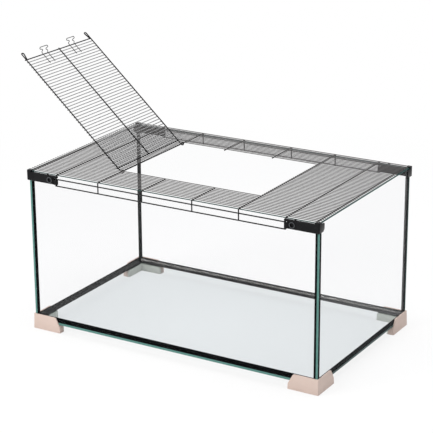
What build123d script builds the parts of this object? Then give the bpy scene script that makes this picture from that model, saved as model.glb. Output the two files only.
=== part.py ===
"""A glass rodent cage: a bonded glass tank on plastic feet, with a welded wire lid,
a wire door in the lid and four swinging corner clips. Lengths are in millimetres.
X runs along the front, Y towards the back, Z up. The origin is on the ground,
under the centre of the tank."""

from build123d import *
from math import atan, ceil, cos, degrees, pi, radians, sin
import os

os.makedirs("parts", exist_ok=True)

# Tank
tank_width = 785.0
tank_depth = 470.0
tank_top = 408.0
wall_glass = 5.0
base_glass = 6.0
glass_arris = 0.5
base_joint = 1.0
corner_joint = 0.8
base_bead = 11.0
base_bead_hollow = 15.0
corner_bead = 7.0
corner_bead_hollow = 9.5

# Feet
foot_height = 38.0
foot_seat_height = 20.0
foot_length = 75.0
foot_top_length = 61.0
foot_end_height = 12.0
foot_wall = 3.0
foot_flare = 1.5
foot_seat_width = 16.0
foot_gap = 0.2
foot_core_wall = 2.5
foot_core_depth = 15.0
foot_top_round = 5.0
foot_end_round = 5.0
foot_edge_chamfer = 1.2

# Lid wires, drawn with flat sides whose distance across is the wire's thickness
wire_sides = 6
bend_step = 30.0
fine_wire = 2.2
frame_wire = 3.0
skirt_wire = 3.0
weld_bite = 0.15
rest_gap = 0.3
mesh_spacing = 9.35
mesh_end_inset = 0.3
opening_length = 381.0
opening_depth = 280.5
strip_wire_spacing = 136.0
pivot_wire_inset = 82.5
end_wire_gap = 3.0
end_wire_end_gap = 2.0
mesh_teeth = 3.0
strip_teeth = 3.0
leg_gap = 2.7
leg_drop = 26.0
skirt_upper_drop = 7.2
skirt_lower_drop = 24.0
wire_bend = 3.0

# Lid door
door_open_angle = 138.0
door_spacing = 8.2
door_end_gap = 15.6
door_bar_wire = 2.6
door_end_wire = 2.8
door_eye_clearance = 0.3
door_eye_sweep = 265.0
door_bar_overhang = 1.0
door_middle_tail = 2.0
loop_overlap = 3.4
loop_width = 9.0
loop_bend = 3.4

# Spring hooks on the door
hook_wire = 1.8
hook_spacing = 112.0
hook_leg_spacing = 20.0
hook_leg_length = 29.0
hook_start = 1.5
hook_tilt = 33.0
hook_bulge_reach = 4.5
hook_bulge_width = 25.0
hook_neck_reach = 9.0
hook_neck_width = 8.0
hook_wing_reach = 12.5
hook_wing_width = 35.0
hook_top_reach = 16.5
hook_top_width = 28.0
hook_bend = 1.6
hook_shoulder_bend = 2.5

# Corner clips
clip_gap = 0.5
clip_thickness = 7.5
clip_height = 20.8
clip_top_drop = 1.2
clip_root = 5.0
clip_corner_round = 3.0
clip_edge_chamfer = 1.5
flap_thickness = 2.5
flap_reach = 17.0
flap_chamfer = 7.0
flap_round = 3.0
post_height = 4.7
post_length = 12.0
knuckle_wall = 2.0
knuckle_clearance = 0.08
knuckle_mouth = 2.4
knuckle_skirt_gap = 0.7
ring_offset = 18.0
ring_outer = 15.0
ring_inner = 10.0
ring_height = 1.4
ring_recess = 2.0
rib_offset = 7.0
rib_spacing = 2.4
rib_width = 1.2
rib_height = 0.9
rib_margin = 1.0
tab_offset = 25.0
tab_width = 5.0
tab_depth = 4.5
tab_height = 3.3

# Tank levels and faces
base_top = foot_seat_height + base_glass
wall_bottom = base_top + base_joint
half_width = tank_width / 2
half_depth = tank_depth / 2

# The outermost fine wires lie above the top edges of the front and back panes.
outer_row_y = half_depth - wall_glass / 4
mesh_rows = round(outer_row_y / mesh_spacing)
mesh_pitch = outer_row_y / mesh_rows
opening_row = round(opening_depth / 2 / mesh_pitch)
opening_edge_y = opening_row * mesh_pitch
hinge_x = -opening_length / 2
pivot_x = -half_width + pivot_wire_inset

# A wire's corners stand out past its flats by this factor.
section_reach = 1 / cos(pi / wire_sides)

# Wire levels, from the frame wires that rest on the glass
frame_level = tank_top + rest_gap + frame_wire / 2
mesh_level = frame_level + frame_wire / 2 + fine_wire / 2 - weld_bite
leg_y = half_depth + leg_gap + frame_wire / 2
leg_bottom = tank_top - leg_drop
skirt_y = leg_y + frame_wire / 2 + skirt_wire / 2 - weld_bite
skirt_upper = tank_top - skirt_upper_drop
skirt_lower = tank_top - skirt_lower_drop

# Heights above the door's hinge axis, square to the door
door_edge_y = opening_edge_y - mesh_pitch / 2
door_level = frame_wire / 2 + frame_wire / 2 * section_reach + door_eye_clearance
door_mesh_level = door_level + frame_wire / 2 + fine_wire / 2 - weld_bite
door_hinge_bar_level = door_level + frame_wire / 2 + door_bar_wire / 2 - weld_bite
door_end_bar_level = door_level + frame_wire / 2 + door_end_wire / 2 - weld_bite
hook_level = door_mesh_level - fine_wire / 2 - hook_wire / 2 + weld_bite

# Fully open, the bar nearest the hinge comes to rest on the lid's fine wires.
door_tilt = radians(door_open_angle)
bar_reach = door_bar_wire / 2 * section_reach
stop_height = mesh_level + fine_wire / 2 + rest_gap + bar_reach - frame_level
door_start = (stop_height - door_hinge_bar_level * cos(door_tilt)) / sin(door_tilt)
door_end = opening_length - door_end_gap
door_rows = round((door_end - door_start) / door_spacing)
door_pitch = (door_end - door_start) / door_rows
loop_length = door_end_gap + loop_overlap
door_frame = Plane(
    origin=(hinge_x, 0, frame_level),
    x_dir=(cos(door_tilt), 0, sin(door_tilt)),
    z_dir=(-sin(door_tilt), 0, cos(door_tilt)),
)


def finish(piece, name):
    """Label a finished piece and write it to its own file."""
    piece.part.label = name
    export_step(piece.part, f"parts/{name}.step")


def wire_section(diameter):
    """The section of a wire, with flats where other wires cross it above and below."""
    RegularPolygon(diameter / 2, wire_sides, major_radius=False)


def sweep_wire(route, diameter, across):
    """Sweep a wire along the route of the part being built, which lies in the plane square to across.

    Each bend is turned in equal short steps."""
    points = [route.wires()[0] @ 0]
    for edge in route.wires()[0].order_edges():
        steps = 1
        if edge.geom_type == GeomType.CIRCLE:
            steps = ceil(edge.length / edge.radius / radians(bend_step))
        points += [edge @ (step / steps) for step in range(1, steps + 1)]
    with BuildLine() as stepped_route:
        Polyline(*points)
    path = stepped_route.wires()[0]
    with BuildSketch(Plane(origin=path @ 0, x_dir=across, z_dir=path % 0)) as section:
        wire_section(diameter)
    sweep(sections=section.sketch, path=path, transition=Transition.RIGHT)


def straight_wires(plane, places, diameter, length):
    """Equal straight wires, whose middles lie at these places on the plane, square to it."""
    with BuildPart() as wires:
        with BuildSketch(plane):
            with Locations(*places):
                wire_section(diameter)
        extrude(amount=length / 2, both=True)
    return wires


def at_corner(pattern, right, back):
    """A copy of the front left corner's piece, mirrored to another corner."""
    shape = pattern.part
    if right:
        shape = mirror(shape, about=Plane.YZ)
    if back:
        shape = mirror(shape, about=Plane.XZ)
    with BuildPart() as piece:
        add(shape)
    return piece


corners = {
    "front_left": (False, False),
    "front_right": (True, False),
    "back_left": (False, True),
    "back_right": (True, True),
}

# The base pane lies on the seats of the feet, and its edge shows all round.
with BuildPart() as base_pane:
    with BuildSketch(Plane.XY.offset(foot_seat_height)):
        Rectangle(tank_width, tank_depth)
    extrude(amount=base_glass)
    outer_edges = base_pane.faces().filter_by(Axis.Z).edges()
    chamfer(outer_edges, length=glass_arris)
finish(base_pane, "base_pane")


def wall_pane(length_x, length_y, centre_x, centre_y):
    """An upright pane, with the sharp edges of its top ground off."""
    with BuildPart() as pane:
        with BuildSketch(Plane.XY.offset(wall_bottom)):
            with Locations((centre_x, centre_y)):
                Rectangle(length_x, length_y)
        extrude(amount=tank_top - wall_bottom)
        chamfer(pane.faces().sort_by(Axis.Z)[-1].edges(), length=glass_arris)
    return pane


# The side panes run the full depth, and the front and back panes stand between them.
side_centre = half_width - wall_glass / 2
front_centre = half_depth - wall_glass / 2
front_length = tank_width - 2 * wall_glass - 2 * corner_joint
finish(wall_pane(wall_glass, tank_depth, -side_centre, 0), "left_pane")
finish(wall_pane(wall_glass, tank_depth, side_centre, 0), "right_pane")
finish(wall_pane(front_length, wall_glass, 0, -front_centre), "front_pane")
finish(wall_pane(front_length, wall_glass, 0, front_centre), "back_pane")


def base_seal(length, across):
    """Silicone under one wall and in the angle above the base, mitred at both ends.

    It is drawn for the front wall of a tank of this length, whose front face is at
    a distance across from the centre."""
    inner = -across + wall_glass
    with BuildPart() as seal:
        with BuildSketch(Plane.YZ.offset(-length / 2)):
            with BuildLine():
                toe = (inner + base_bead, base_top)
                crest = (inner, wall_bottom + base_bead)
                Polyline(crest, (inner, wall_bottom), (-across, wall_bottom), (-across, base_top), toe)
                RadiusArc(toe, crest, base_bead_hollow)
            make_face()
        extrude(amount=length)
        for side in (-1, 1):
            mitre = Plane(origin=(side * length / 2, -across, 0), z_dir=(-side, -1, 0))
            split(bisect_by=mitre, keep=Keep.TOP)
    return seal


front_seal = base_seal(tank_width, half_depth)
side_seal = base_seal(tank_depth, half_width)
finish(front_seal, "base_seal_front")
with BuildPart() as back_seal:
    add(front_seal.part, rotation=(0, 0, 180))
finish(back_seal, "base_seal_back")
with BuildPart() as right_seal:
    add(side_seal.part, rotation=(0, 0, 90))
finish(right_seal, "base_seal_right")
with BuildPart() as left_seal:
    add(side_seal.part, rotation=(0, 0, -90))
finish(left_seal, "base_seal_left")

# Silicone between the front and side panes, with a tooled bead inside the corner.
with BuildPart() as corner_seal:
    with BuildSketch(Plane.XY.offset(wall_bottom)):
        with BuildLine():
            inner_x = -half_width + wall_glass
            inner_y = -half_depth + wall_glass
            joint_x = inner_x + corner_joint
            bead_x = (inner_x + corner_bead, inner_y)
            bead_y = (inner_x, inner_y + corner_bead)
            Polyline(bead_y, (inner_x, -half_depth), (joint_x, -half_depth), (joint_x, inner_y), bead_x)
            RadiusArc(bead_x, bead_y, corner_bead_hollow)
        make_face()
    extrude(amount=tank_top - wall_bottom)
    add(front_seal.part, mode=Mode.SUBTRACT)
    add(left_seal.part, mode=Mode.SUBTRACT)
for corner, (right, back) in corners.items():
    finish(at_corner(corner_seal, right, back), f"corner_seal_{corner}")

# A moulded foot wraps the outside of a corner and carries the base on an inner seat.
with BuildPart() as foot:
    outside = foot_wall + foot_flare
    left_face = -half_width - outside
    front_face = -half_depth - outside
    seat_x = -half_width + foot_seat_width
    seat_y = -half_depth + foot_seat_width
    end_x = -half_width + foot_length
    end_y = -half_depth + foot_length
    with BuildSketch() as plan:
        with BuildLine():
            Polyline(
                (left_face, front_face),
                (end_x, front_face),
                (end_x, seat_y),
                (seat_x, seat_y),
                (seat_x, end_y),
                (left_face, end_y),
                close=True,
            )
        make_face()
        inner_ends = plan.vertices().group_by(Axis.X)[-1].sort_by(Axis.Y)[-1:]
        inner_ends += plan.vertices().group_by(Axis.Y)[-1].sort_by(Axis.X)[-1:]
        fillet(inner_ends, foot_end_round)
        outer_edges = plan.vertices().group_by(Axis.Y)[0]
        outer_edges += plan.vertices().group_by(Axis.X)[0].sort_by(Axis.Y)[-1:]
        chamfer(outer_edges, foot_edge_chamfer)
    extrude(amount=foot_height, taper=degrees(atan(foot_flare / foot_height)))
    with BuildSketch(Plane.XZ.offset(-end_y)) as front_outline:
        with BuildLine():
            Polyline(
                (left_face, 0),
                (end_x, 0),
                (end_x, foot_end_height),
                (-half_width + foot_top_length, foot_height),
                (left_face, foot_height),
                close=True,
            )
        make_face()
        fillet(front_outline.vertices().group_by(Axis.Y)[-1].sort_by(Axis.X)[-1], foot_top_round)
    extrude(amount=foot_length + outside, mode=Mode.INTERSECT)
    with BuildSketch(Plane.YZ.offset(left_face)) as side_outline:
        with BuildLine():
            Polyline(
                (front_face, 0),
                (end_y, 0),
                (end_y, foot_end_height),
                (-half_depth + foot_top_length, foot_height),
                (front_face, foot_height),
                close=True,
            )
        make_face()
        fillet(side_outline.vertices().group_by(Axis.Y)[-1].sort_by(Axis.X)[-1], foot_top_round)
    extrude(amount=foot_length + outside, mode=Mode.INTERSECT)
    with BuildSketch(Plane.XY.offset(foot_seat_height)):
        with Locations((-half_width - foot_gap, -half_depth - foot_gap)):
            Rectangle(2 * foot_length, 2 * foot_length, align=(Align.MIN, Align.MIN))
    extrude(amount=foot_height, mode=Mode.SUBTRACT)
    core_size = foot_seat_width + foot_wall - 2 * foot_core_wall
    core_start = -foot_wall + foot_core_wall
    arm_core = (foot_length - foot_core_wall - core_start - core_size - 2 * foot_core_wall) / 2
    with BuildSketch():
        with Locations((-half_width + core_start, -half_depth + core_start)):
            Rectangle(core_size, core_size, align=(Align.MIN, Align.MIN))
        for core in range(2):
            along = core_start + core_size + foot_core_wall + core * (arm_core + foot_core_wall)
            with Locations((-half_width + along, -half_depth + core_start)):
                Rectangle(arm_core, core_size, align=(Align.MIN, Align.MIN))
            with Locations((-half_width + core_start, -half_depth + along)):
                Rectangle(core_size, arm_core, align=(Align.MIN, Align.MIN))
    extrude(amount=foot_core_depth, mode=Mode.SUBTRACT)
for corner, (right, back) in corners.items():
    finish(at_corner(foot, right, back), f"foot_{corner}")


def mesh_wires(first_row, last_row, start_x, end_x):
    """Fine lid wires along X, one for each row from first to last."""
    middle = Plane.YZ.offset((start_x + end_x) / 2)
    places = [(row * mesh_pitch, mesh_level) for row in range(first_row, last_row + 1)]
    return straight_wires(middle, places, fine_wire, end_x - start_x)


# The lid's grille: fine wires lie across the top of the frame wires.
inner_row = opening_row - 1
mesh_end_x = half_width - mesh_end_inset
finish(mesh_wires(-mesh_rows, -opening_row, -mesh_end_x, mesh_end_x), "lid_mesh_front")
finish(mesh_wires(opening_row, mesh_rows, -mesh_end_x, mesh_end_x), "lid_mesh_back")
finish(mesh_wires(-inner_row, inner_row, -mesh_end_x, hinge_x + mesh_teeth), "lid_mesh_left")
finish(mesh_wires(-inner_row, inner_row, -hinge_x, mesh_end_x), "lid_mesh_right")


def leg_points(side):
    """The bent end of a frame wire: its leg stands outside the glass."""
    return [(side * leg_y, leg_bottom), (side * leg_y, frame_level)]


def full_frame_wire(place_x):
    """A frame wire from front to back, with a leg at each end."""
    with BuildPart() as wire:
        with BuildLine(Plane.YZ.offset(place_x)) as route:
            FilletPolyline(*leg_points(-1), *reversed(leg_points(1)), radius=wire_bend)
        sweep_wire(route, frame_wire, across=(1, 0, 0))
    return wire


finish(full_frame_wire(pivot_x), "frame_wire_left")
finish(full_frame_wire(hinge_x), "hinge_wire")
finish(full_frame_wire(-hinge_x), "catch_wire")
finish(full_frame_wire(-pivot_x), "frame_wire_right")


def strip_wires(side):
    """The two short frame wires in front of the door opening, or behind it."""
    inner_end = (side * (opening_edge_y - strip_teeth), frame_level)
    with BuildPart() as wires:
        for place_x in (-strip_wire_spacing / 2, strip_wire_spacing / 2):
            with BuildLine(Plane.YZ.offset(place_x)) as route:
                FilletPolyline(*leg_points(side), inner_end, radius=wire_bend)
            sweep_wire(route, frame_wire, across=(1, 0, 0))
    return wires


finish(strip_wires(-1), "strip_wires_front")
finish(strip_wires(1), "strip_wires_back")


# Straight frame wires just inside the side panes
end_wire_x = half_width - wall_glass - end_wire_gap - frame_wire / 2
end_wire_length = tank_depth - 2 * (wall_glass + end_wire_end_gap)
for side, place_x in (("left", -end_wire_x), ("right", end_wire_x)):
    end_wire = straight_wires(Plane.XZ, [(place_x, frame_level)], frame_wire, end_wire_length)
    finish(end_wire, f"end_wire_{side}")


def skirt_wires(side):
    """Two wires along the outside of the legs, which keep the lid on the tank."""
    places = [(side * skirt_y, skirt_upper), (side * skirt_y, skirt_lower)]
    return straight_wires(Plane.YZ, places, skirt_wire, -2 * pivot_x + frame_wire)


finish(skirt_wires(-1), "skirt_wires_front")
finish(skirt_wires(1), "skirt_wires_back")


def door_side_wire(side):
    """A long door wire: an eye round the hinge wire, a straight run and a flat end loop."""
    edge = side * door_edge_y
    inner = edge - side * loop_width
    return_end = edge - side * (frame_wire + door_eye_clearance)
    halfway = radians(door_eye_sweep / 2)
    full = radians(door_eye_sweep)
    with BuildPart() as wire:
        with BuildLine(door_frame) as route:
            ThreePointArc(
                (-door_level * sin(full), edge, door_level * cos(full)),
                (-door_level * sin(halfway), edge, door_level * cos(halfway)),
                (0, edge, door_level),
            )
            FilletPolyline(
                (0, edge, door_level),
                (door_end + loop_length, edge, door_level),
                (door_end + loop_length, inner, door_level),
                (door_end, return_end, door_level),
                radius=loop_bend,
            )
        sweep_wire(route, frame_wire, across=(0, 1, 0))
    return wire


finish(door_side_wire(-1), "door_side_wire_front")
finish(door_side_wire(1), "door_side_wire_back")

# The middle wire runs between the two thicker cross bars.
middle_length = door_end - door_start + 2 * door_middle_tail
middle_place = [(0, door_level)]
door_across = Plane(origin=door_frame.origin, x_dir=(0, 1, 0), z_dir=door_frame.x_dir)
half_way = door_across.offset((door_start + door_end) / 2)
finish(straight_wires(half_way, middle_place, frame_wire, middle_length), "door_middle_wire")

door_side_view = Plane(origin=door_frame.origin, x_dir=door_frame.x_dir, z_dir=(0, -1, 0))
bar_length = 2 * door_edge_y + frame_wire + 2 * door_bar_overhang
hinge_bar_place = [(door_start, door_hinge_bar_level)]
end_bar_place = [(door_end, door_end_bar_level)]
mesh_places = [(door_start + row * door_pitch, door_mesh_level) for row in range(1, door_rows)]
finish(straight_wires(door_side_view, hinge_bar_place, door_bar_wire, bar_length), "door_hinge_bar")
finish(straight_wires(door_side_view, end_bar_place, door_end_wire, bar_length), "door_end_bar")
finish(straight_wires(door_side_view, mesh_places, fine_wire, bar_length), "door_mesh")


def spring_hook(centre):
    """A springy wire hook: two welded legs, a waist and a wide head that snaps under the catch wire."""
    bend_start = door_end + hook_start
    tilt = radians(hook_tilt)
    outline = [
        (0, hook_leg_spacing),
        (hook_bulge_reach, hook_bulge_width),
        (hook_neck_reach, hook_neck_width),
        (hook_wing_reach, hook_wing_width),
        (hook_top_reach, hook_top_width),
    ]

    def head_points(side):
        return [
            (bend_start + reach * cos(tilt), centre + side * width / 2, hook_level - reach * sin(tilt))
            for reach, width in outline
        ]

    def leg_end(side):
        return (door_end - hook_leg_length, centre + side * hook_leg_spacing / 2, hook_level)

    bends = [hook_shoulder_bend] + [hook_bend] * (len(outline) - 1)
    with BuildPart() as hook:
        with BuildLine(door_frame) as route:
            FilletPolyline(
                leg_end(-1),
                *head_points(-1),
                *reversed(head_points(1)),
                leg_end(1),
                radius=bends + bends[::-1],
            )
        sweep_wire(route, hook_wire, across=door_frame.z_dir)
    return hook


finish(spring_hook(-hook_spacing / 2), "door_hook_front")
finish(spring_hook(hook_spacing / 2), "door_hook_back")

# A corner clip turns on a leg of the lid and wraps round the corner of the glass.
clip_top = tank_top - clip_top_drop
clip_bottom = clip_top - clip_height
clip_middle = (clip_bottom + clip_top) / 2
arm_inner = -half_depth - clip_gap
arm_outer = arm_inner - clip_thickness
flap_inner = -half_width - clip_gap
flap_outer = flap_inner - flap_thickness
flap_end = -half_depth + flap_reach
root_x = pivot_x - clip_root
knuckle_gap = skirt_wire / 2 + knuckle_skirt_gap
bearing_radius = frame_wire / 2 * section_reach + knuckle_clearance
knuckle_radius = bearing_radius + knuckle_wall
with BuildPart() as clip:
    with BuildSketch(Plane.XY.offset(clip_bottom)) as clip_plan:
        with BuildLine():
            Polyline(
                (root_x, arm_inner),
                (root_x, arm_outer),
                (flap_outer, arm_outer),
                (flap_outer, flap_end),
                (flap_inner, flap_end),
                (flap_inner, arm_inner),
                close=True,
            )
        make_face()
        fillet(clip_plan.vertices().group_by(Axis.X)[0].sort_by(Axis.Y)[0], clip_corner_round)
    extrude(amount=clip_height)
    flap_tip = clip.edges().filter_by(Axis.X).group_by(Axis.Y)[-1].sort_by(Axis.Z)
    chamfer(flap_tip[0], length=flap_chamfer)
    fillet(flap_tip[-1], flap_round)
    chamfer(clip.edges().filter_by(Axis.X).group_by(Axis.Y)[0].sort_by(Axis.Z)[0], clip_edge_chamfer)

    # A raised post stiffens the corner, and a small thumb tab stands on the arm.
    with BuildSketch(Plane.XY.offset(clip_top)) as post_plan:
        with Locations((flap_outer, arm_outer)):
            Rectangle(post_length, clip_thickness, align=(Align.MIN, Align.MIN))
            Rectangle(flap_thickness, post_length, align=(Align.MIN, Align.MIN))
        fillet(post_plan.vertices().group_by(Axis.X)[0].sort_by(Axis.Y)[0], clip_corner_round)
    extrude(amount=post_height)
    with BuildSketch(Plane.XY.offset(clip_top)):
        with Locations((pivot_x - tab_offset, arm_inner - clip_thickness / 2)):
            Ellipse(tab_width / 2, tab_depth / 2)
    extrude(amount=tab_height)

    # The bearing: a gap for the upper skirt wire parts it into two open knuckles.
    knuckles = ((clip_bottom, skirt_upper - knuckle_gap), (skirt_upper + knuckle_gap, clip_top))
    for low, high in knuckles:
        with BuildSketch(Plane.XY.offset(low)):
            with Locations((pivot_x, -leg_y)):
                Circle(knuckle_radius)
            with Locations((root_x, arm_outer)):
                Rectangle(clip_root, clip_thickness, align=(Align.MIN, Align.MIN))
        extrude(amount=high - low)
    with BuildSketch(Plane.XY.offset(clip_bottom)):
        with Locations((pivot_x, -leg_y)):
            Circle(bearing_radius)
            Rectangle(2 * knuckle_radius, knuckle_mouth, align=(Align.MIN, Align.CENTER))
    extrude(amount=clip_height, mode=Mode.SUBTRACT)

    # A round finger ring and two grip ribs stand out of the front.
    with BuildSketch(Plane.XZ.offset(-arm_outer)):
        with Locations((pivot_x - ring_offset, clip_middle)):
            Circle(ring_outer / 2)
    extrude(amount=ring_height)
    with BuildSketch(Plane.XZ.offset(ring_height - arm_outer)):
        with Locations((pivot_x - ring_offset, clip_middle)):
            Circle(ring_inner / 2)
    extrude(amount=-ring_height - ring_recess, mode=Mode.SUBTRACT)
    with BuildSketch(Plane.XZ.offset(-arm_outer)):
        for rib in range(2):
            with Locations((pivot_x - rib_offset - rib * rib_spacing, clip_middle)):
                Rectangle(rib_width, clip_height - 2 * rib_margin - 2 * clip_edge_chamfer)
    extrude(amount=rib_height)
for corner, (right, back) in corners.items():
    finish(at_corner(clip, right, back), f"clip_{corner}")
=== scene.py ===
# %% [markdown]
# # A glass rodent cage
#
# The cage is a bonded glass tank on four beige feet. A welded wire lid lies on the glass, with a wire
# door folded back out of its opening and a black plastic clip at each corner. The construction is
# already there as a frame of measured solids, so this file gives every piece its finish, and makes the
# round wires and the softened plastic edges that the plain solids leave out. Sizes that are easier to
# read in millimetres are written as a number times MM.
#
# Everything is in metres: X runs along the front, Y towards the back and Z up from the ground.

import bmesh
import bpy
import numpy as np
from mathutils import Matrix, Vector


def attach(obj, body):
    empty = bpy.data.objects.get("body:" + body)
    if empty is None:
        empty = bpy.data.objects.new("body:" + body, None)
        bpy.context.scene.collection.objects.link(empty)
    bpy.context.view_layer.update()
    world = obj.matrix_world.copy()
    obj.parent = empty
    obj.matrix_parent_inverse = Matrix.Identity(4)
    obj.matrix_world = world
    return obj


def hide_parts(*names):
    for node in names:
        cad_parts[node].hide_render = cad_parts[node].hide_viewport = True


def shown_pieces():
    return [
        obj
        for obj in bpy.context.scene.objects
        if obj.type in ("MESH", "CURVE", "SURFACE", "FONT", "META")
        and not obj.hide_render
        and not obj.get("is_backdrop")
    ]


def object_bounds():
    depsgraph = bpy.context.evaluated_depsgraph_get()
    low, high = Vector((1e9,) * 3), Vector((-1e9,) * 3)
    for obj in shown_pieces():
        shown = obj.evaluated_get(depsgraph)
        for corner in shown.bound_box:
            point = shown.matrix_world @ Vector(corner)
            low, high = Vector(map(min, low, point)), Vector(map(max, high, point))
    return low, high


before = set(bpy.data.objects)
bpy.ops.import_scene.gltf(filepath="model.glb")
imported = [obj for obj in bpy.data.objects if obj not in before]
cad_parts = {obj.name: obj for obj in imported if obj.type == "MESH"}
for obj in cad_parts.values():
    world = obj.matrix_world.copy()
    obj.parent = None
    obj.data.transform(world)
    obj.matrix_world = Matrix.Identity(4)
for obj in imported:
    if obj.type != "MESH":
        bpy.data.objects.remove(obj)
cad_low, cad_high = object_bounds()
print("the cage spans", [round(v, 3) for v in cad_low], "to", [round(v, 3) for v in cad_high])

# %% [markdown]
# ## The camera
#
# The view is from the right of the front and a little above. A long lens keeps the upright edges
# nearly parallel, as in a catalogue picture. The camera is turned by three angles: yaw about Z, pitch
# down and a very small roll, and its three axes are written out from them.

# %% Camera
LENS = 135.7
CAMERA_PLACE = (1.91797, -3.21974, 1.57906)
yaw, pitch, roll = np.radians([30.912, 19.011, -0.367])
forward = np.array([-np.sin(yaw) * np.cos(pitch), np.cos(yaw) * np.cos(pitch), -np.sin(pitch)])
level_right = np.array([np.cos(yaw), np.sin(yaw), 0.0])
level_up = np.cross(level_right, forward)
camera_right = level_right * np.cos(roll) + level_up * np.sin(roll)
camera_up = level_up * np.cos(roll) - level_right * np.sin(roll)

camera_data = bpy.data.cameras.new("camera")
camera_data.lens = LENS
camera_data.sensor_width = 36.0
camera_data.clip_end = 100.0
camera = bpy.data.objects.new("camera", camera_data)
bpy.context.scene.collection.objects.link(camera)
turn = np.eye(4)
turn[:3, 0], turn[:3, 1], turn[:3, 2] = camera_right, camera_up, -forward
turn[:3, 3] = CAMERA_PLACE
camera.matrix_world = Matrix(turn.tolist())
bpy.context.scene.camera = camera
print("the camera stands", round(float(np.linalg.norm(CAMERA_PLACE)), 2), "m from the origin")

# %% [markdown]
# ## From arrays to a piece
#
# Every new piece is a mesh built from arrays: its points, and the faces that join them. One helper
# puts the arrays into Blender, shades the piece smooth, hangs it under an empty for the body it rides
# on and hides the solids it stands for.

# %% Put arrays into a piece
def new_piece(name, points, faces, body, stands_for):
    """A smooth-shaded piece from an array of points and a list of faces."""
    mesh = bpy.data.meshes.new(name)
    mesh.from_pydata(points.reshape(-1, 3).tolist(), [], faces)
    mesh.polygons.foreach_set("use_smooth", np.ones(len(mesh.polygons), dtype=bool))
    mesh.update()
    piece = bpy.data.objects.new(name, mesh)
    bpy.context.scene.collection.objects.link(piece)
    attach(piece, body)
    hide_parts(*stands_for)
    print(name, len(mesh.vertices), "points")


# %% [markdown]
# ## Round wire
#
# A wire is a circle carried along a route and kept square to it. One axis of the circle is a given
# direction across the route, leaned over just enough to be square to the wire, and the other axis is
# square to both. That keeps the circle from twisting as long as the wire never runs along the given
# direction. The sawn ends are rounded off by two smaller circles.

# %% Carry a circle along a route
SIDES = 12


def wire_rings(route, across, radius):
    """Rings of points along a route: route + r (cos a side + sin a (tangent x side)).

    side is across less its part along the tangent, made one unit long. At each end the radius
    shrinks over a short length, which rounds the edge of the cut."""
    tangents = np.gradient(route, axis=0)
    tangents /= np.linalg.norm(tangents, axis=1, keepdims=True)
    soft = 0.3 * radius
    first = [route[0], route[0] + tangents[0] * soft]
    last = [route[-1] - tangents[-1] * soft, route[-1]]
    centres = np.concatenate([first, route[1:-1], last])
    along = np.concatenate([tangents[:1], tangents[:1], tangents[1:-1], tangents[-1:], tangents[-1:]])
    radii = np.full(len(centres), radius)
    radii[[0, -1]] = radius - soft
    angle = np.linspace(0, 2 * np.pi, SIDES, endpoint=False)[None, :, None]
    side = across - along * (along @ across)[:, None]
    side /= np.linalg.norm(side, axis=1, keepdims=True)
    third = np.cross(along, side)
    around = np.cos(angle) * side[:, None, :] + np.sin(angle) * third[:, None, :]
    return centres[:, None, :] + radii[:, None, None] * around


def ring_faces(rings, first=0):
    """Quads between neighbouring rings, and one flat face on each end."""
    ring = np.arange(rings - 1)[:, None] * SIDES
    here = np.arange(SIDES)[None, :]
    beside = (here + 1) % SIDES
    quads = np.stack([ring + here, ring + beside, ring + SIDES + beside, ring + SIDES + here], axis=-1)
    quads = (quads.reshape(-1, 4) + first).tolist()
    last = first + (rings - 1) * SIDES
    return quads + [list(range(first + SIDES - 1, first - 1, -1)), list(range(last, last + SIDES))]


def straight(start, end):
    """A straight route with a point at each end and one in the middle."""
    return np.linspace(start, end, 3)


def wire_piece(name, wires, body, stands_for):
    """One piece of several wires, each a (route, across, radius)."""
    points, faces, count = [], [], 0
    for route, across, radius in wires:
        rings = wire_rings(np.asarray(route, float), across, radius)
        points.append(rings.reshape(-1, 3))
        faces += ring_faces(len(rings), count)
        count += len(rings) * SIDES
    new_piece(name, np.concatenate(points), faces, body, stands_for)


# %% [markdown]
# ## Bends
#
# A wire bends round a tool, so each corner of a route is an arc. The arc touches both runs at the
# same distance from the corner, and its points are found by swinging from one touching point to the
# other about the arc's centre.

# %% Round the corners of a route
BEND_POINTS = np.linspace(0, 1, 9)[None, :, None]


def bent_route(corners, radius):
    """The route through these corners, with an arc of the given radius in each inner one.

    For a corner P with unit directions u and v to its neighbours, half the angle between them is h:
    the arc's centre is P + r / sin h along u + v, and it touches the runs r / tan h from P."""
    corners = np.asarray(corners, float)
    radius = np.broadcast_to(radius, len(corners) - 2)[:, None]
    inner = corners[1:-1]
    to_last = corners[:-2] - inner
    to_next = corners[2:] - inner
    to_last /= np.linalg.norm(to_last, axis=1, keepdims=True)
    to_next /= np.linalg.norm(to_next, axis=1, keepdims=True)
    half = np.arccos(np.sum(to_last * to_next, axis=1, keepdims=True)) / 2
    middle = to_last + to_next
    middle /= np.linalg.norm(middle, axis=1, keepdims=True)
    centre = inner + middle * radius / np.sin(half)
    start = inner + to_last * radius / np.tan(half) - centre
    end = inner + to_next * radius / np.tan(half) - centre
    swing = (np.pi - 2 * half)[:, None, :]
    from_start = np.sin((1 - BEND_POINTS) * swing) * start[:, None, :]
    from_end = np.sin(BEND_POINTS * swing) * end[:, None, :]
    arcs = centre[:, None, :] + (from_start + from_end) / np.sin(swing)
    return np.concatenate([corners[:1], arcs.reshape(-1, 3), corners[-1:]])


# %% [markdown]
# ## Fine wires of the lid
#
# The grille's fine wires lie side by side along X, 9.35 mm apart, on top of the thicker frame wires,
# which lie over the glass. They are broken where the door opening is, and short teeth of them stand
# out past the wire that the door turns on. Each of the four fields of wires is one piece. FINE and
# FRAME are half the thickness of a wire, and WELD is how deep two welded wires sink into each other.

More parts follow.
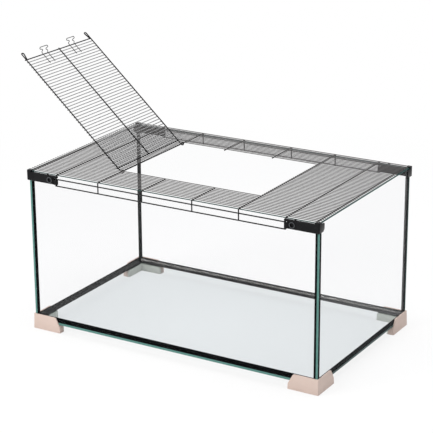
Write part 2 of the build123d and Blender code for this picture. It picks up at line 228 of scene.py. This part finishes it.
# %% Lid grille
MM = 0.001
FINE = 1.1 * MM
FRAME = 1.5 * MM
WELD = 0.15 * MM
TEETH = 3 * MM
OUTER_ROW = 25
OPENING_ROW = 15
PITCH = 233.75 / OUTER_ROW * MM
FRAME_LEVEL = 409.8 * MM
FINE_LEVEL = FRAME_LEVEL + FRAME + FINE - WELD
OPENING_X = 190.5 * MM
END_X = 392.2 * MM
along_y = np.array([0.0, 1.0, 0.0])
along_x = np.array([1.0, 0.0, 0.0])


def fine_wires(first, last, start_x, end_x):
    """Straight wires along X at the rows first to last."""
    rows = np.arange(first, last + 1) * PITCH
    return [(straight((start_x, y, FINE_LEVEL), (end_x, y, FINE_LEVEL)), along_y, FINE) for y in rows]


lid_fields = {
    "front": fine_wires(-OUTER_ROW, -OPENING_ROW, -END_X, END_X),
    "back": fine_wires(OPENING_ROW, OUTER_ROW, -END_X, END_X),
    "left": fine_wires(1 - OPENING_ROW, OPENING_ROW - 1, -END_X, -OPENING_X + TEETH),
    "right": fine_wires(1 - OPENING_ROW, OPENING_ROW - 1, OPENING_X, END_X),
}
for side, wires in lid_fields.items():
    wire_piece(f"lid_grille_{side}", wires, "lid", [f"lid_mesh_{side}"])

# %% [markdown]
# ## Frame wires of the lid
#
# Thicker wires run from front to back under the fine ones. Past the edge of the glass each is bent
# straight down as a leg. Two short wires do the same in front of the door opening and behind it.
# Long skirt wires join the legs outside the glass, so the lid can't slide off to the front or the
# back. SKIRT is half their thickness.

# %% Frame wires with their legs
LEG_X, STRIP_X = 310 * MM, 68 * MM
LEG_Y, LEG_FOOT = 239.2 * MM, 382 * MM
BEND = 3 * MM
front_and_back = ((-1, "front"), (1, "back"))


def leg_corners(x, side):
    """The corners of one end of a frame wire, from the foot of its leg inwards."""
    return [(x, side * LEG_Y, LEG_FOOT), (x, side * LEG_Y, FRAME_LEVEL)]


long_frames = {
    "frame_wire_left": -LEG_X,
    "hinge_wire": -OPENING_X,
    "catch_wire": OPENING_X,
    "frame_wire_right": LEG_X,
}
for name, x in long_frames.items():
    route = bent_route(leg_corners(x, -1) + leg_corners(x, 1)[::-1], BEND)
    wire_piece(f"round_{name}", [(route, along_x, FRAME)], "lid", [name])
for side, name in front_and_back:
    wires = []
    for x in (-STRIP_X, STRIP_X):
        inner_end = (x, side * (OPENING_ROW * PITCH - TEETH), FRAME_LEVEL)
        wires.append((bent_route(leg_corners(x, side) + [inner_end], BEND), along_x, FRAME))
    wire_piece(f"strip_frames_{name}", wires, "lid", [f"strip_wires_{name}"])

# %% Straight wires at the ends and along the skirt
END_WIRE_X, END_WIRE_REACH = 383 * MM, 228 * MM
for side, name in ((-1, "left"), (1, "right")):
    x = side * END_WIRE_X
    route = straight((x, -END_WIRE_REACH, FRAME_LEVEL), (x, END_WIRE_REACH, FRAME_LEVEL))
    wire_piece(f"end_frame_{name}", [(route, along_x, FRAME)], "lid", [f"end_wire_{name}"])
SKIRT = 1.5 * MM
SKIRT_LEVELS = (400.8 * MM, 384 * MM)
skirt_reach = LEG_X + FRAME
for side, name in front_and_back:
    y = side * (LEG_Y + FRAME + SKIRT - WELD)
    wires = [(straight((-skirt_reach, y, z), (skirt_reach, y, z)), along_y, SKIRT) for z in SKIRT_LEVELS]
    wire_piece(f"skirt_{name}", wires, "lid", [f"skirt_wires_{name}"])

# %% [markdown]
# ## The door
#
# The door lies back at 138 degrees. It is easiest to describe in its own directions: u along its
# length from the hinge, v across it and w square to it, measured from the axis of the hinge wire.
# Each long wire starts as an eye round the hinge wire and ends in a flat loop for the finger. The
# sizes of the door are in millimetres, and those of its wires are half their thickness.

# %% The door's own directions
DOOR_ANGLE = np.radians(138.0)
door_u = np.array([np.cos(DOOR_ANGLE), 0.0, np.sin(DOOR_ANGLE)])
door_w = np.array([-np.sin(DOOR_ANGLE), 0.0, np.cos(DOOR_ANGLE)])
hinge = np.array([-OPENING_X, 0.0, FRAME_LEVEL])


def door_points(local):
    """Points given in millimetres along u, v and w, as points of the cage in metres."""
    local = np.asarray(local, float) * MM
    return hinge + local[:, :1] * door_u + local[:, 1:2] * along_y + local[:, 2:] * door_w


LONG, BAR, HEEL, TIP, HOOK = 1.5, 1.1, 1.3, 1.4, 0.9
BITE = WELD / MM
CLEARANCE = 0.3
CORNER = 1 / np.cos(np.pi / 6)  # the corners of the six-sided solids stand out by this factor
DOOR_LEVEL = LONG + LONG * CORNER + CLEARANCE
HEEL_LEVEL = DOOR_LEVEL + LONG + HEEL - BITE
TIP_LEVEL = DOOR_LEVEL + LONG + TIP - BITE
BAR_LEVEL = DOOR_LEVEL + LONG + BAR - BITE
HOOK_LEVEL = BAR_LEVEL - BAR - HOOK + BITE
LOOP_LENGTH, LOOP_WIDTH, LOOP_CLOSE, LOOP_BEND = 15.6, 9.0, 3.3, 3.4
stop_height = (FINE_LEVEL + FINE - FRAME_LEVEL) / MM + CLEARANCE + HEEL * CORNER
DOOR_START = (stop_height - HEEL_LEVEL * np.cos(DOOR_ANGLE)) / np.sin(DOOR_ANGLE)
DOOR_END = 2 * OPENING_X / MM - LOOP_LENGTH
DOOR_EDGE = (OPENING_ROW - 0.5) * PITCH / MM
print("the door's bars run from", round(DOOR_START, 2), "to", round(DOOR_END, 2), "mm along it")

# %% Long door wires with eyes and loops
EYE_TURN, EYE_STEPS = 265, 27
eye_angle = np.radians(np.linspace(EYE_TURN, 0, EYE_STEPS + 1))[:-1]
loop_tip = DOOR_END + LOOP_LENGTH + LOOP_BEND
for side, name in front_and_back:
    edge = side * DOOR_EDGE
    eye_u, eye_w = -DOOR_LEVEL * np.sin(eye_angle), DOOR_LEVEL * np.cos(eye_angle)
    eye = np.stack([eye_u, np.full_like(eye_u, edge), eye_w], axis=1)
    corners = [
        (0, edge, DOOR_LEVEL),
        (loop_tip, edge, DOOR_LEVEL),
        (loop_tip, edge - side * LOOP_WIDTH, DOOR_LEVEL),
        (DOOR_END, edge - side * LOOP_CLOSE, DOOR_LEVEL),
    ]
    route = door_points(np.concatenate([eye, bent_route(corners, LOOP_BEND)]))
    # The eye's rings are laid out across the door and the loop's square to it. The two meet after
    # the eye, where a quarter turn of the ring makes their points agree.
    join = len(eye) + 2
    eye_rings = wire_rings(route, along_y, FRAME)[:join]
    loop_rings = np.roll(wire_rings(route, door_w, FRAME)[join:], SIDES // 4, axis=1)
    rings = np.concatenate([eye_rings, loop_rings])
    solids = [f"door_side_wire_{name}"]
    new_piece(f"door_long_wire_{name}", rings, ring_faces(len(rings)), "door", solids)

# %% Bars of the door
OVERHANG, SPINE_TAIL, SPINE_MIDDLE, DOOR_ROWS = 1.7, 2.0, 200.0, 43
bar_reach = DOOR_EDGE + OVERHANG


def cross_bar(u, w, radius):
    """A straight bar across the door, at u along it and w above the hinge axis."""
    return (door_points(straight((u, -bar_reach, w), (u, bar_reach, w))), door_u, radius)


spine_places = (DOOR_START - SPINE_TAIL, SPINE_MIDDLE, DOOR_END + SPINE_TAIL)
spine = door_points([(u, 0, DOOR_LEVEL) for u in spine_places])
wire_piece("door_spine", [(spine, along_y, FRAME)], "door", ["door_middle_wire"])
heel_bar = cross_bar(DOOR_START, HEEL_LEVEL, HEEL * MM)
wire_piece("door_heel_bar", [heel_bar], "door", ["door_hinge_bar"])
tip_bar = cross_bar(DOOR_END, TIP_LEVEL, TIP * MM)
wire_piece("door_tip_bar", [tip_bar], "door", ["door_end_bar"])
bar_places = np.linspace(DOOR_START, DOOR_END, DOOR_ROWS + 1)[1:-1]
bars = [cross_bar(u, BAR_LEVEL, BAR * MM) for u in bar_places]
wire_piece("door_bars", bars, "door", ["door_mesh"])

# %% [markdown]
# ## Spring hooks
#
# Two springy wires hold the door shut. Each is bent from one length: two legs welded under the bars,
# a bulge, a narrow neck and a wide head that snaps below the far frame wire. The head leans down by
# 33 degrees from the plane of its legs, and the circle leans over with it.

# %% Hooks
hook_profile = np.array([(0.0, 20.0), (4.5, 25.0), (9.0, 8.0), (12.5, 35.0), (16.5, 28.0)])
HOOK_PLACE, LEG_HALF_GAP, LEG_LENGTH, HEAD_START = 56.0, 10.0, 29.0, 1.5
LEG_BEND, HEAD_BEND = 2.5, 1.6
lean = np.radians(33.0)
reach, width = hook_profile.T
hook_u = DOOR_END + HEAD_START + reach * np.cos(lean)
hook_w = HOOK_LEVEL - reach * np.sin(lean)
bends = [LEG_BEND] + [HEAD_BEND] * 8 + [LEG_BEND]
for side, name in front_and_back:
    centre = side * HOOK_PLACE
    near = np.stack([hook_u, centre - width / 2, hook_w], axis=1)
    far = np.stack([hook_u, centre + width / 2, hook_w], axis=1)[::-1]
    first_leg = [[DOOR_END - LEG_LENGTH, centre - LEG_HALF_GAP, HOOK_LEVEL]]
    last_leg = [[DOOR_END - LEG_LENGTH, centre + LEG_HALF_GAP, HOOK_LEVEL]]
    route = door_points(bent_route(np.concatenate([first_leg, near, far, last_leg]), bends))
    wires = [(route, door_w, HOOK * MM)]
    wire_piece(f"spring_hook_{name}", wires, "door", [f"door_hook_{name}"])

# %% [markdown]
# ## Softened plastic edges
#
# A moulding has no knife edges. The feet and the clips are copied from the measured solids, their
# loose triangles are joined into faces, and a narrow bevel goes round every real edge, so that each
# one catches a thin line of light. The base pane lies on the seats of the feet, so the seats are
# lowered by a hair: two faces at exactly the same place can't be told apart in the picture.

# %% Copy a solid and soften it
SEAT = 20 * MM
SEAT_DROP = 0.2 * MM


def softened(node, name, body, width, seat=None):
    """A copy of a solid with joined faces and a rounded bevel of this width on its sharp edges.

    If the height of a seat is given, the points at that height go down by SEAT_DROP."""
    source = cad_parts[node]
    shape = bmesh.new()
    shape.from_mesh(source.data)
    shape.transform(source.matrix_world)
    bmesh.ops.remove_doubles(shape, verts=shape.verts, dist=1e-6)
    bmesh.ops.dissolve_limit(shape, angle_limit=np.radians(0.5), verts=shape.verts, edges=shape.edges)
    mesh = bpy.data.meshes.new(name)
    shape.to_mesh(mesh)
    shape.free()
    if seat is not None:
        points = np.empty(3 * len(mesh.vertices))
        mesh.vertices.foreach_get("co", points)
        points = points.reshape(-1, 3)
        points[np.abs(points[:, 2] - seat) < 1e-5, 2] -= SEAT_DROP
        mesh.vertices.foreach_set("co", points.ravel())
    mesh.polygons.foreach_set("use_smooth", np.ones(len(mesh.polygons), dtype=bool))
    piece = bpy.data.objects.new(name, mesh)
    bpy.context.scene.collection.objects.link(piece)
    bevel = piece.modifiers.new("softened edges", "BEVEL")
    bevel.width = width
    bevel.segments = 2
    bevel.limit_method = "ANGLE"
    bevel.angle_limit = np.radians(32)
    bevel.harden_normals = True
    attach(piece, body)
    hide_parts(node)
    print(name, len(mesh.polygons), "faces before the bevel")
    return piece


corners_of_tank = ["front_left", "front_right", "back_left", "back_right"]
FOOT_BEVEL, CLIP_BEVEL = 0.5 * MM, 0.25 * MM
feet = [
    softened(f"foot_{c}", f"moulded_foot_{c}", "tank", FOOT_BEVEL, SEAT)
    for c in corners_of_tank
]
clips = [
    softened(f"clip_{c}", f"moulded_clip_{c}", f"clip_{c}", CLIP_BEVEL)
    for c in corners_of_tank
]

# %% [markdown]
# ## Shader maths as plain expressions
#
# A finish is a small program that runs at each point of a surface. To keep it readable, a value that
# varies is wrapped in a class whose +, - and * add the matching Math nodes, and one method adds any
# other node.

# %% A value that varies over a surface
class Field:
    """The output of a shader node, which can be used in Python expressions."""

    def __init__(self, tree, socket):
        self.tree = tree
        self.socket = socket

    def math(self, operation, first, second):
        """A Math node on two values, each a field or a number."""
        node = self.tree.nodes.new("ShaderNodeMath")
        node.operation = operation
        for socket, value in zip(node.inputs, (first, second)):
            if isinstance(value, Field):
                self.tree.links.new(value.socket, socket)
            else:
                socket.default_value = value
        return Field(self.tree, node.outputs[0])

    def __add__(self, other):
        return self.math("ADD", self, other)

    def __radd__(self, other):
        return self.math("ADD", other, self)

    def __sub__(self, other):
        return self.math("SUBTRACT", self, other)

    def __rsub__(self, other):
        return self.math("SUBTRACT", other, self)

    def __mul__(self, other):
        return self.math("MULTIPLY", self, other)

    def __rmul__(self, other):
        return self.math("MULTIPLY", other, self)

    def __gt__(self, other):
        return self.math("GREATER_THAN", self, other)

    def __lt__(self, other):
        return self.math("LESS_THAN", self, other)

    def __abs__(self):
        return self.math("ABSOLUTE", self, 0.0)


# %% A finish in the making
class Finish:
    """A material with one Principled shader, whose constants are set on its own sockets."""

    def __init__(self, name, **constants):
        self.material = bpy.data.materials.new(name)
        self.material.use_nodes = True
        self.tree = self.material.node_tree
        self.tree.nodes.clear()
        self.shader = self.tree.nodes.new("ShaderNodeBsdfPrincipled")
        self.output = self.tree.nodes.new("ShaderNodeOutputMaterial")
        self.plain = Field(self.tree, self.shader.outputs[0])
        self.show(self.plain)
        for socket, value in constants.items():
            self.shader.inputs[socket.replace("_", " ")].default_value = value
        self.place = self.node("ShaderNodeTexCoord", output="Object")

    def node(self, kind, settings=(), sockets=(), output=0):
        """A node of this kind: its settings first, then values or fields on its sockets."""
        node = self.tree.nodes.new(kind)
        for setting, value in dict(settings).items():
            if setting == "stops":
                while len(node.color_ramp.elements) < len(value):
                    node.color_ramp.elements.new(0.5)
                for element, (position, colour) in zip(node.color_ramp.elements, value):
                    element.position = position
                    element.color = (*colour, 1.0)
            else:
                setattr(node, setting, value)
        for socket, value in dict(sockets).items():
            if isinstance(value, Field):
                self.tree.links.new(value.socket, node.inputs[socket])
            else:
                node.inputs[socket].default_value = value
        return Field(self.tree, node.outputs[output])

    def noise(self, scale, detail=2.0):
        """Soft random variation from 0 to 1, with this many blobs in a metre."""
        return self.node("ShaderNodeTexNoise", {}, {"Vector": self.place, "Scale": scale, "Detail": detail})

    def coordinates(self):
        """The place on the cage as three fields: X, Y and Z."""
        return [
            self.node("ShaderNodeSeparateXYZ", {}, {"Vector": self.place}, output=axis) for axis in range(3)
        ]

    def clamp(self, value):
        """A field kept between 0 and 1."""
        return self.node("ShaderNodeClamp", {}, {"Value": value})

    def light_path(self, kind):
        """1 for rays of this kind and 0 for others."""
        return self.node("ShaderNodeLightPath", output=kind)

    def mix_shaders(self, factor, first, second):
        """A shader between two shaders."""
        return self.node("ShaderNodeMixShader", {}, {0: factor, 1: first, 2: second})

    def show(self, shader):
        """Use this shader as the surface."""
        self.tree.links.new(shader.socket, self.output.inputs["Surface"])

    def mix(self, factor, first, second):
        """A colour between two colours."""
        return self.node("ShaderNodeMix", {"data_type": "RGBA"}, {0: factor, 6: first, 7: second}, output=2)

    def drive(self, socket, field):
        """Let a field drive one of the shader's sockets."""
        self.tree.links.new(field.socket, self.shader.inputs[socket])

    def bump(self, height, distance):
        """Raise and lower the surface by a height field, by this distance in metres."""
        self.drive("Normal", self.node("ShaderNodeBump", {}, {"Height": height, "Distance": distance}))


def dress(finish, *pieces):
    """Give pieces a finish."""
    for piece in pieces:
        piece.data.materials.clear()
        piece.data.materials.append(finish.material)


def dress_node(finish, *nodes):
    """Give solids of the frame a finish, in the material slots that they have."""
    for node in nodes:
        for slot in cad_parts[node].material_slots:
            slot.material = finish.material


# %% [markdown]
# ## Clear glass
#
# Flat glass shows almost nothing of itself: what is behind it, a very faint pale veil, and a brighter
# reflection at a shallow angle. Its cut edges are another thing. Light runs a long way through the
# sheet before it comes out there, and they look dark teal. Here that colour is painted on. So the
# finish is a mix of a refracting shader and a glossy one. The mix goes to the glossy shader at
# shallow angles and on the cut edges, which are found by their place on the tank. Light on its way
# to another surface passes straight through, because bent lamp light would take far more samples to
# settle. The numbers in the mix were chosen.

# %% Glass with teal edges
EDGE_STRENGTH = 0.96


def glass(name, tint, veil, edges):
    """Clear glass. edges lists the cut edges as (axis, distance from centre, dark colour, light colour)."""
    finish = Finish(name, Specular_IOR_Level=0.3)
    axes = dict(zip("xyz", finish.coordinates()))
    smear = finish.noise(9.0, 3.0)
    streak = finish.noise(160.0, 2.0)
    edge, colour = 0.0, (0.93, 0.96, 0.97, 1.0)
    for axis, limit, dark, light in edges:
        here = abs(axes[axis]) > limit
        colour = finish.mix(here, colour, finish.mix(streak, (*dark, 1.0), (*light, 1.0)))
        edge = here + edge
    edge = finish.clamp(edge)
    finish.drive("Base Color", colour)
    finish.drive("Roughness", 0.03 + edge * 0.3)
    shallow = finish.node("ShaderNodeFresnel", {}, {"IOR": 1.45})
    clear = veil * (0.7 + 0.6 * smear) + 0.3 * (shallow - 0.034)
    factor = finish.clamp(clear + edge * EDGE_STRENGTH)
    straight_through = finish.node("ShaderNodeBsdfTransparent", {}, {"Color": tint})
    bent = finish.node("ShaderNodeBsdfRefraction", {}, {"Color": tint, "Roughness": 0.0, "IOR": 1.5})
    on_its_way = finish.clamp(finish.light_path("Is Shadow Ray") + finish.light_path("Is Diffuse Ray"))
    see_through = finish.mix_shaders(on_its_way, bent, straight_through)
    finish.show(finish.mix_shaders(factor, see_through, finish.plain))
    return finish


CUT_X, CUT_Y, CUT_Z = 0.3921, 0.2346, 0.4071  # just inside the outermost faces of the panes
teal = ((0.06, 0.18, 0.155), (0.125, 0.29, 0.26))
deep_teal = ((0.008, 0.035, 0.033), (0.025, 0.075, 0.07))
base_cuts = [("y", CUT_Y, *teal), ("x", CUT_X, *deep_teal)]
side_cuts = [("y", CUT_Y, *teal), ("z", CUT_Z, *deep_teal)]
front_cuts = [("z", CUT_Z, *deep_teal)]
wall_tint = (0.989, 0.989, 0.991, 1.0)
base_glass = glass("base glass", (0.903, 0.918, 0.924, 1.0), 0.01, base_cuts)
side_glass = glass("side glass", wall_tint, 0.003, side_cuts)
front_glass = glass("front and back glass", wall_tint, 0.003, front_cuts)
dress_node(base_glass, "base_pane")
dress_node(side_glass, "left_pane", "right_pane")
dress_node(front_glass, "front_pane", "back_pane")
print("five panes are glazed")

# %% [markdown]
# ## Black silicone
#
# The panes are bonded with black silicone, which is pulled smooth with a wet tool. The tooled side of
# the bead faces the inside of the tank. It is glossy, with faint ripples from the tool, while the
# sides that are bonded to the glass throw nothing back and look black through it.

# %% Silicone
silicone = Finish("black silicone", Specular_IOR_Level=0.0, Coat_Roughness=0.28)
ripple = silicone.noise(55.0, 3.0)
silicone.drive("Base Color", silicone.mix(ripple, (0.002, 0.0025, 0.003, 1.0), (0.006, 0.007, 0.008, 1.0)))
silicone.drive("Roughness", 0.28 + 0.18 * silicone.noise(30.0))
INSIDE_X, INSIDE_Y, BASE_TOP = 0.3873, 0.2298, 0.0262
bead_x, bead_y, bead_z = silicone.coordinates()
tooled = (abs(bead_x) < INSIDE_X) * (abs(bead_y) < INSIDE_Y) * (bead_z > BASE_TOP)
silicone.drive("Coat Weight", tooled * (0.75 + 0.25 * ripple))
silicone.bump(ripple, 0.0006)
seals = [f"base_seal_{side}" for side in ("front", "back", "left", "right")]
seals += [f"corner_seal_{corner}" for corner in corners_of_tank]
dress_node(silicone, *seals)
print(len(seals), "seals are dressed")

# %% [markdown]
# ## Powder-coated wire
#
# The wires are coated with powder paint, which melts into a skin with a fine pebbled surface. Its
# colour varies a little, in soft patches. The thicker wires of the lid and the door are black, and so
# are the door's two end bars. The lid's fine wires are dark grey, the door's fine bars a lighter grey,
# and the springy hooks nearly black.

# %% Wire finishes
def powder_coat(name, dark, light, roughness, shine=0.5):
    """A paint skin on wire: two close greys in patches, and a fine pebble."""
    finish = Finish(name, Specular_IOR_Level=shine, Coat_Weight=0.2 * shine, Coat_Roughness=0.3)
    patches = finish.noise(35.0, 3.0)
    finish.drive("Base Color", finish.mix(patches, (*dark, 1.0), (*light, 1.0)))
    finish.drive("Roughness", roughness + 0.2 * finish.noise(400.0))
    finish.bump(finish.noise(2600.0), 0.00004)
    return finish


fine_coat = powder_coat("powder coat on fine wire", (0.076, 0.072, 0.072), (0.106, 0.101, 0.101), 0.45, 0.4)
frame_coat = powder_coat(
    "powder coat on frame wire", (0.006, 0.006, 0.007), (0.014, 0.014, 0.015), 0.45, 0.15
)
bar_coat = powder_coat("powder coat on door bars", (0.2, 0.2, 0.202), (0.28, 0.28, 0.282), 0.4)
spring_steel = powder_coat("drawn spring wire", (0.012, 0.012, 0.013), (0.03, 0.03, 0.031), 0.3)
by_name = {piece.name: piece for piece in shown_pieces()}
wire_finishes = {
    "lid_grille": fine_coat,
    "round_": frame_coat,
    "strip_frames": frame_coat,
    "end_frame": frame_coat,
    "skirt": frame_coat,
    "door_long": frame_coat,
    "door_spine": frame_coat,
    "door_heel": frame_coat,
    "door_tip": frame_coat,
    "door_bars": bar_coat,
    "spring_hook": spring_steel,
}
for start, finish in wire_finishes.items():
    dress(finish, *[piece for name, piece in by_name.items() if name.startswith(start)])
print("wires are coated")

# %% [markdown]
# ## Moulded plastic
#
# The feet are a pinkish beige plastic with a fine satin grain. Their seats and inner sides are seen
# through the base, where the glass tints them greyer and greener. That tint is painted on them by
# place, and the seats are painted darker as well, as painted shade under the pane.
# The clips are glossy black, with faint flow marks. The grip ribs and the rim of the round finger
# ring are painted lighter than the faces round them as a painted highlight, and are a little rougher.

# %% Plastic finishes
beige = Finish("beige moulded plastic", Specular_IOR_Level=0.35)
cloud = beige.noise(40.0, 3.0)
skin = beige.mix(cloud, (0.6, 0.475, 0.418, 1.0), (0.65, 0.52, 0.462, 1.0))
foot_x, foot_y, foot_z = beige.coordinates()
SEAT_X, SEAT_Y, SEAT_NEARNESS = 0.3925, 0.235, 0.0008
SIDE_X, SIDE_Y = 0.3775, 0.22
# The side faces of each foot's two arms end in rounded bends. One arm runs along X, one along Y.
X_ARM_END, X_ARM_DEPTH = 0.323, 0.2245
Y_ARM_END, Y_ARM_DEPTH = 0.1655, 0.382
at_seat_height = abs(foot_z - (SEAT - SEAT_DROP)) < SEAT_NEARNESS
on_seat = (abs(foot_x) < SEAT_X) * (abs(foot_y) < SEAT_Y) * at_seat_height
inner_side = (abs(foot_x) < SIDE_X) * (abs(foot_y) < SIDE_Y)
bend_on_x = (abs(foot_x) < X_ARM_END) * (abs(foot_y) < X_ARM_DEPTH)
bend_on_y = (abs(foot_x) < Y_ARM_DEPTH) * (abs(foot_y) < Y_ARM_END)
# Painted glass tint: a pale grey-green on the inner sides and arm bends, in place of the glass over them.
painted_glass_tint = beige.mix(cloud, (0.71, 0.71, 0.645, 1.0), (0.77, 0.77, 0.7, 1.0))
skin = beige.mix(inner_side + (bend_on_x + bend_on_y), skin, painted_glass_tint)
# The seats are painted a dark grey-green: painted shade under the base pane, with the glass's tint.
beige.drive("Base Color", beige.mix(on_seat, skin, (0.33, 0.355, 0.3, 1.0)))
beige.drive("Roughness", 0.5 + 0.12 * beige.noise(900.0))
beige.bump(beige.noise(3500.0), 0.00003)
dress(beige, *feet)

black = Finish("glossy black plastic", Specular_IOR_Level=0.1, Coat_Roughness=0.12)
flow = black.noise(60.0, 4.0)
RING_X, RING_Z, RING_RADIUS, RIM = 0.328, 0.3964, 0.0064, 0.001
RIM_Y, RIBS_Y, RIBS_X, RIBS_FROM_RING = 0.24325, 0.24405, 0.3199, 0.0076
clip_x, clip_y, clip_z = black.coordinates()
from_ring = black.node("ShaderNodeCombineXYZ", {}, {"X": abs(clip_x) - RING_X, "Z": clip_z - RING_Z})
from_ring = black.node("ShaderNodeVectorMath", {"operation": "LENGTH"}, {0: from_ring}, output=1)
rim = (abs(clip_y) > RIM_Y) * (abs(from_ring - RING_RADIUS) < RIM)
ribs = (abs(clip_y) > RIBS_Y) * (abs(clip_x) < RIBS_X) * (from_ring > RIBS_FROM_RING)
painted_highlight = black.clamp(rim + ribs)
gloss = black.mix(flow, (0.004, 0.004, 0.005, 1.0), (0.009, 0.009, 0.01, 1.0))
# The rim and the ribs get a painted highlight: a lighter grey in place of the light on their edges.
black.drive("Base Color", black.mix(painted_highlight, gloss, (0.065, 0.069, 0.075, 1.0)))
black.drive("Coat Weight", 0.03 + 0.05 * flow)
black.drive("Roughness", 0.2 + 0.14 * flow + 0.15 * painted_highlight)
black.bump(black.noise(1800.0), 0.00002)
dress(black, *clips)
print("feet and clips are dressed")

# %% [markdown]
# ## Floor, backdrop and light
#
# The cage stands on a plain pale floor under soft light. The picture's background is white, so the
# world and the far floor are white to the camera and to rays that pass through the glass, while the
# lamps stay at a plain level. Rays that bounce off a glossy surface see the floor white too, but the
# world only partly, which keeps the black clips black.

# %% Floor
FLOOR_REACH = 30.0
floor_points = FLOOR_REACH * np.array([[-1, -1, 0], [1, -1, 0], [1, 1, 0], [-1, 1, 0]])
floor_mesh = bpy.data.meshes.new("floor")
floor_mesh.from_pydata(floor_points.tolist(), [], [[0, 1, 2, 3]])
floor = bpy.data.objects.new("floor", floor_mesh)
bpy.context.scene.collection.objects.link(floor)
floor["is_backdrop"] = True
paper = Finish("pale paper floor", Roughness=0.9, Specular_IOR_Level=0.0)
paper.drive("Base Color", paper.mix(paper.noise(3.0), (0.8, 0.8, 0.8, 1.0), (0.82, 0.82, 0.82, 1.0)))
WHITE = (1.0, 1.0, 1.0, 1.0)
glow = paper.node("ShaderNodeEmission", {}, {"Color": WHITE, "Strength": 1.0})
seen = paper.light_path("Is Camera Ray") + paper.light_path("Is Glossy Ray")
seen = paper.clamp(seen + paper.light_path("Is Transmission Ray"))
distance = paper.node("ShaderNodeVectorMath", {"operation": "LENGTH"}, {0: paper.place}, output=1)
far_off = paper.clamp(0.8 * distance - 0.5)
paper.show(paper.mix_shaders(seen * (0.8 + 0.2 * far_off), paper.plain, glow))
dress(paper, floor)

# %% World and lamps
world = bpy.data.worlds.new("soft room")
world.use_nodes = True
bpy.context.scene.world = world
sky = world.node_tree
sky.nodes.clear()
out = sky.nodes.new("ShaderNodeOutputWorld")
room = sky.nodes.new("ShaderNodeBackground")
room.inputs["Color"].default_value = (0.97, 0.985, 1.0, 1.0)
room.inputs["Strength"].default_value = 0.55
white = sky.nodes.new("ShaderNodeBackground")
white.inputs["Color"].default_value = WHITE
white.inputs["Strength"].default_value = 1.0
rays = sky.nodes.new("ShaderNodeLightPath")
choose = sky.nodes.new("ShaderNodeMixShader")
whiteness = Field(sky, rays.outputs["Is Camera Ray"]) + Field(sky, rays.outputs["Is Transmission Ray"])
whiteness = whiteness + 0.3 * Field(sky, rays.outputs["Is Glossy Ray"])
sky.links.new(whiteness.socket, choose.inputs[0])
sky.links.new(room.outputs[0], choose.inputs[1])
sky.links.new(white.outputs[0], choose.inputs[2])
sky.links.new(choose.outputs[0], out.inputs["Surface"])


def lamp(name, place, size, power, tint=(1.0, 1.0, 1.0)):
    """A square soft light at a place, turned towards the middle of the cage."""
    data = bpy.data.lights.new(name, "AREA")
    data.size = size
    data.energy = power
    data.color = tint
    light = bpy.data.objects.new(name, data)
    bpy.context.scene.collection.objects.link(light)
    light.location = place
    towards = Vector((0, 0, 0.2)) - light.location
    light.rotation_euler = towards.to_track_quat("-Z", "Y").to_euler()


lamp("key", (-1.7, -2.6, 2.5), 1.8, 87.0, (1.0, 0.97, 0.94))
lamp("top", (0.3, 0.4, 3.2), 2.4, 70.0)
lamp("fill", (3.0, -1.2, 1.4), 1.6, 2.5, (0.95, 0.98, 1.0))
bpy.context.scene.view_settings.view_transform = "Standard"
print("the stage is lit")

# %% [markdown]
# ## The size of the cage
#
# The finished cage has to keep the size of the measured solids, so the box round every shown piece
# is measured again, and the last line prints how far it moved from the box of the solids.

# %% Compare the size
new_low, new_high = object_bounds()
change = np.abs(np.array([cad_low, cad_high]) - np.array([new_low, new_high])).max()
print("largest change of the box", round(float(change) / MM, 2), "mm")
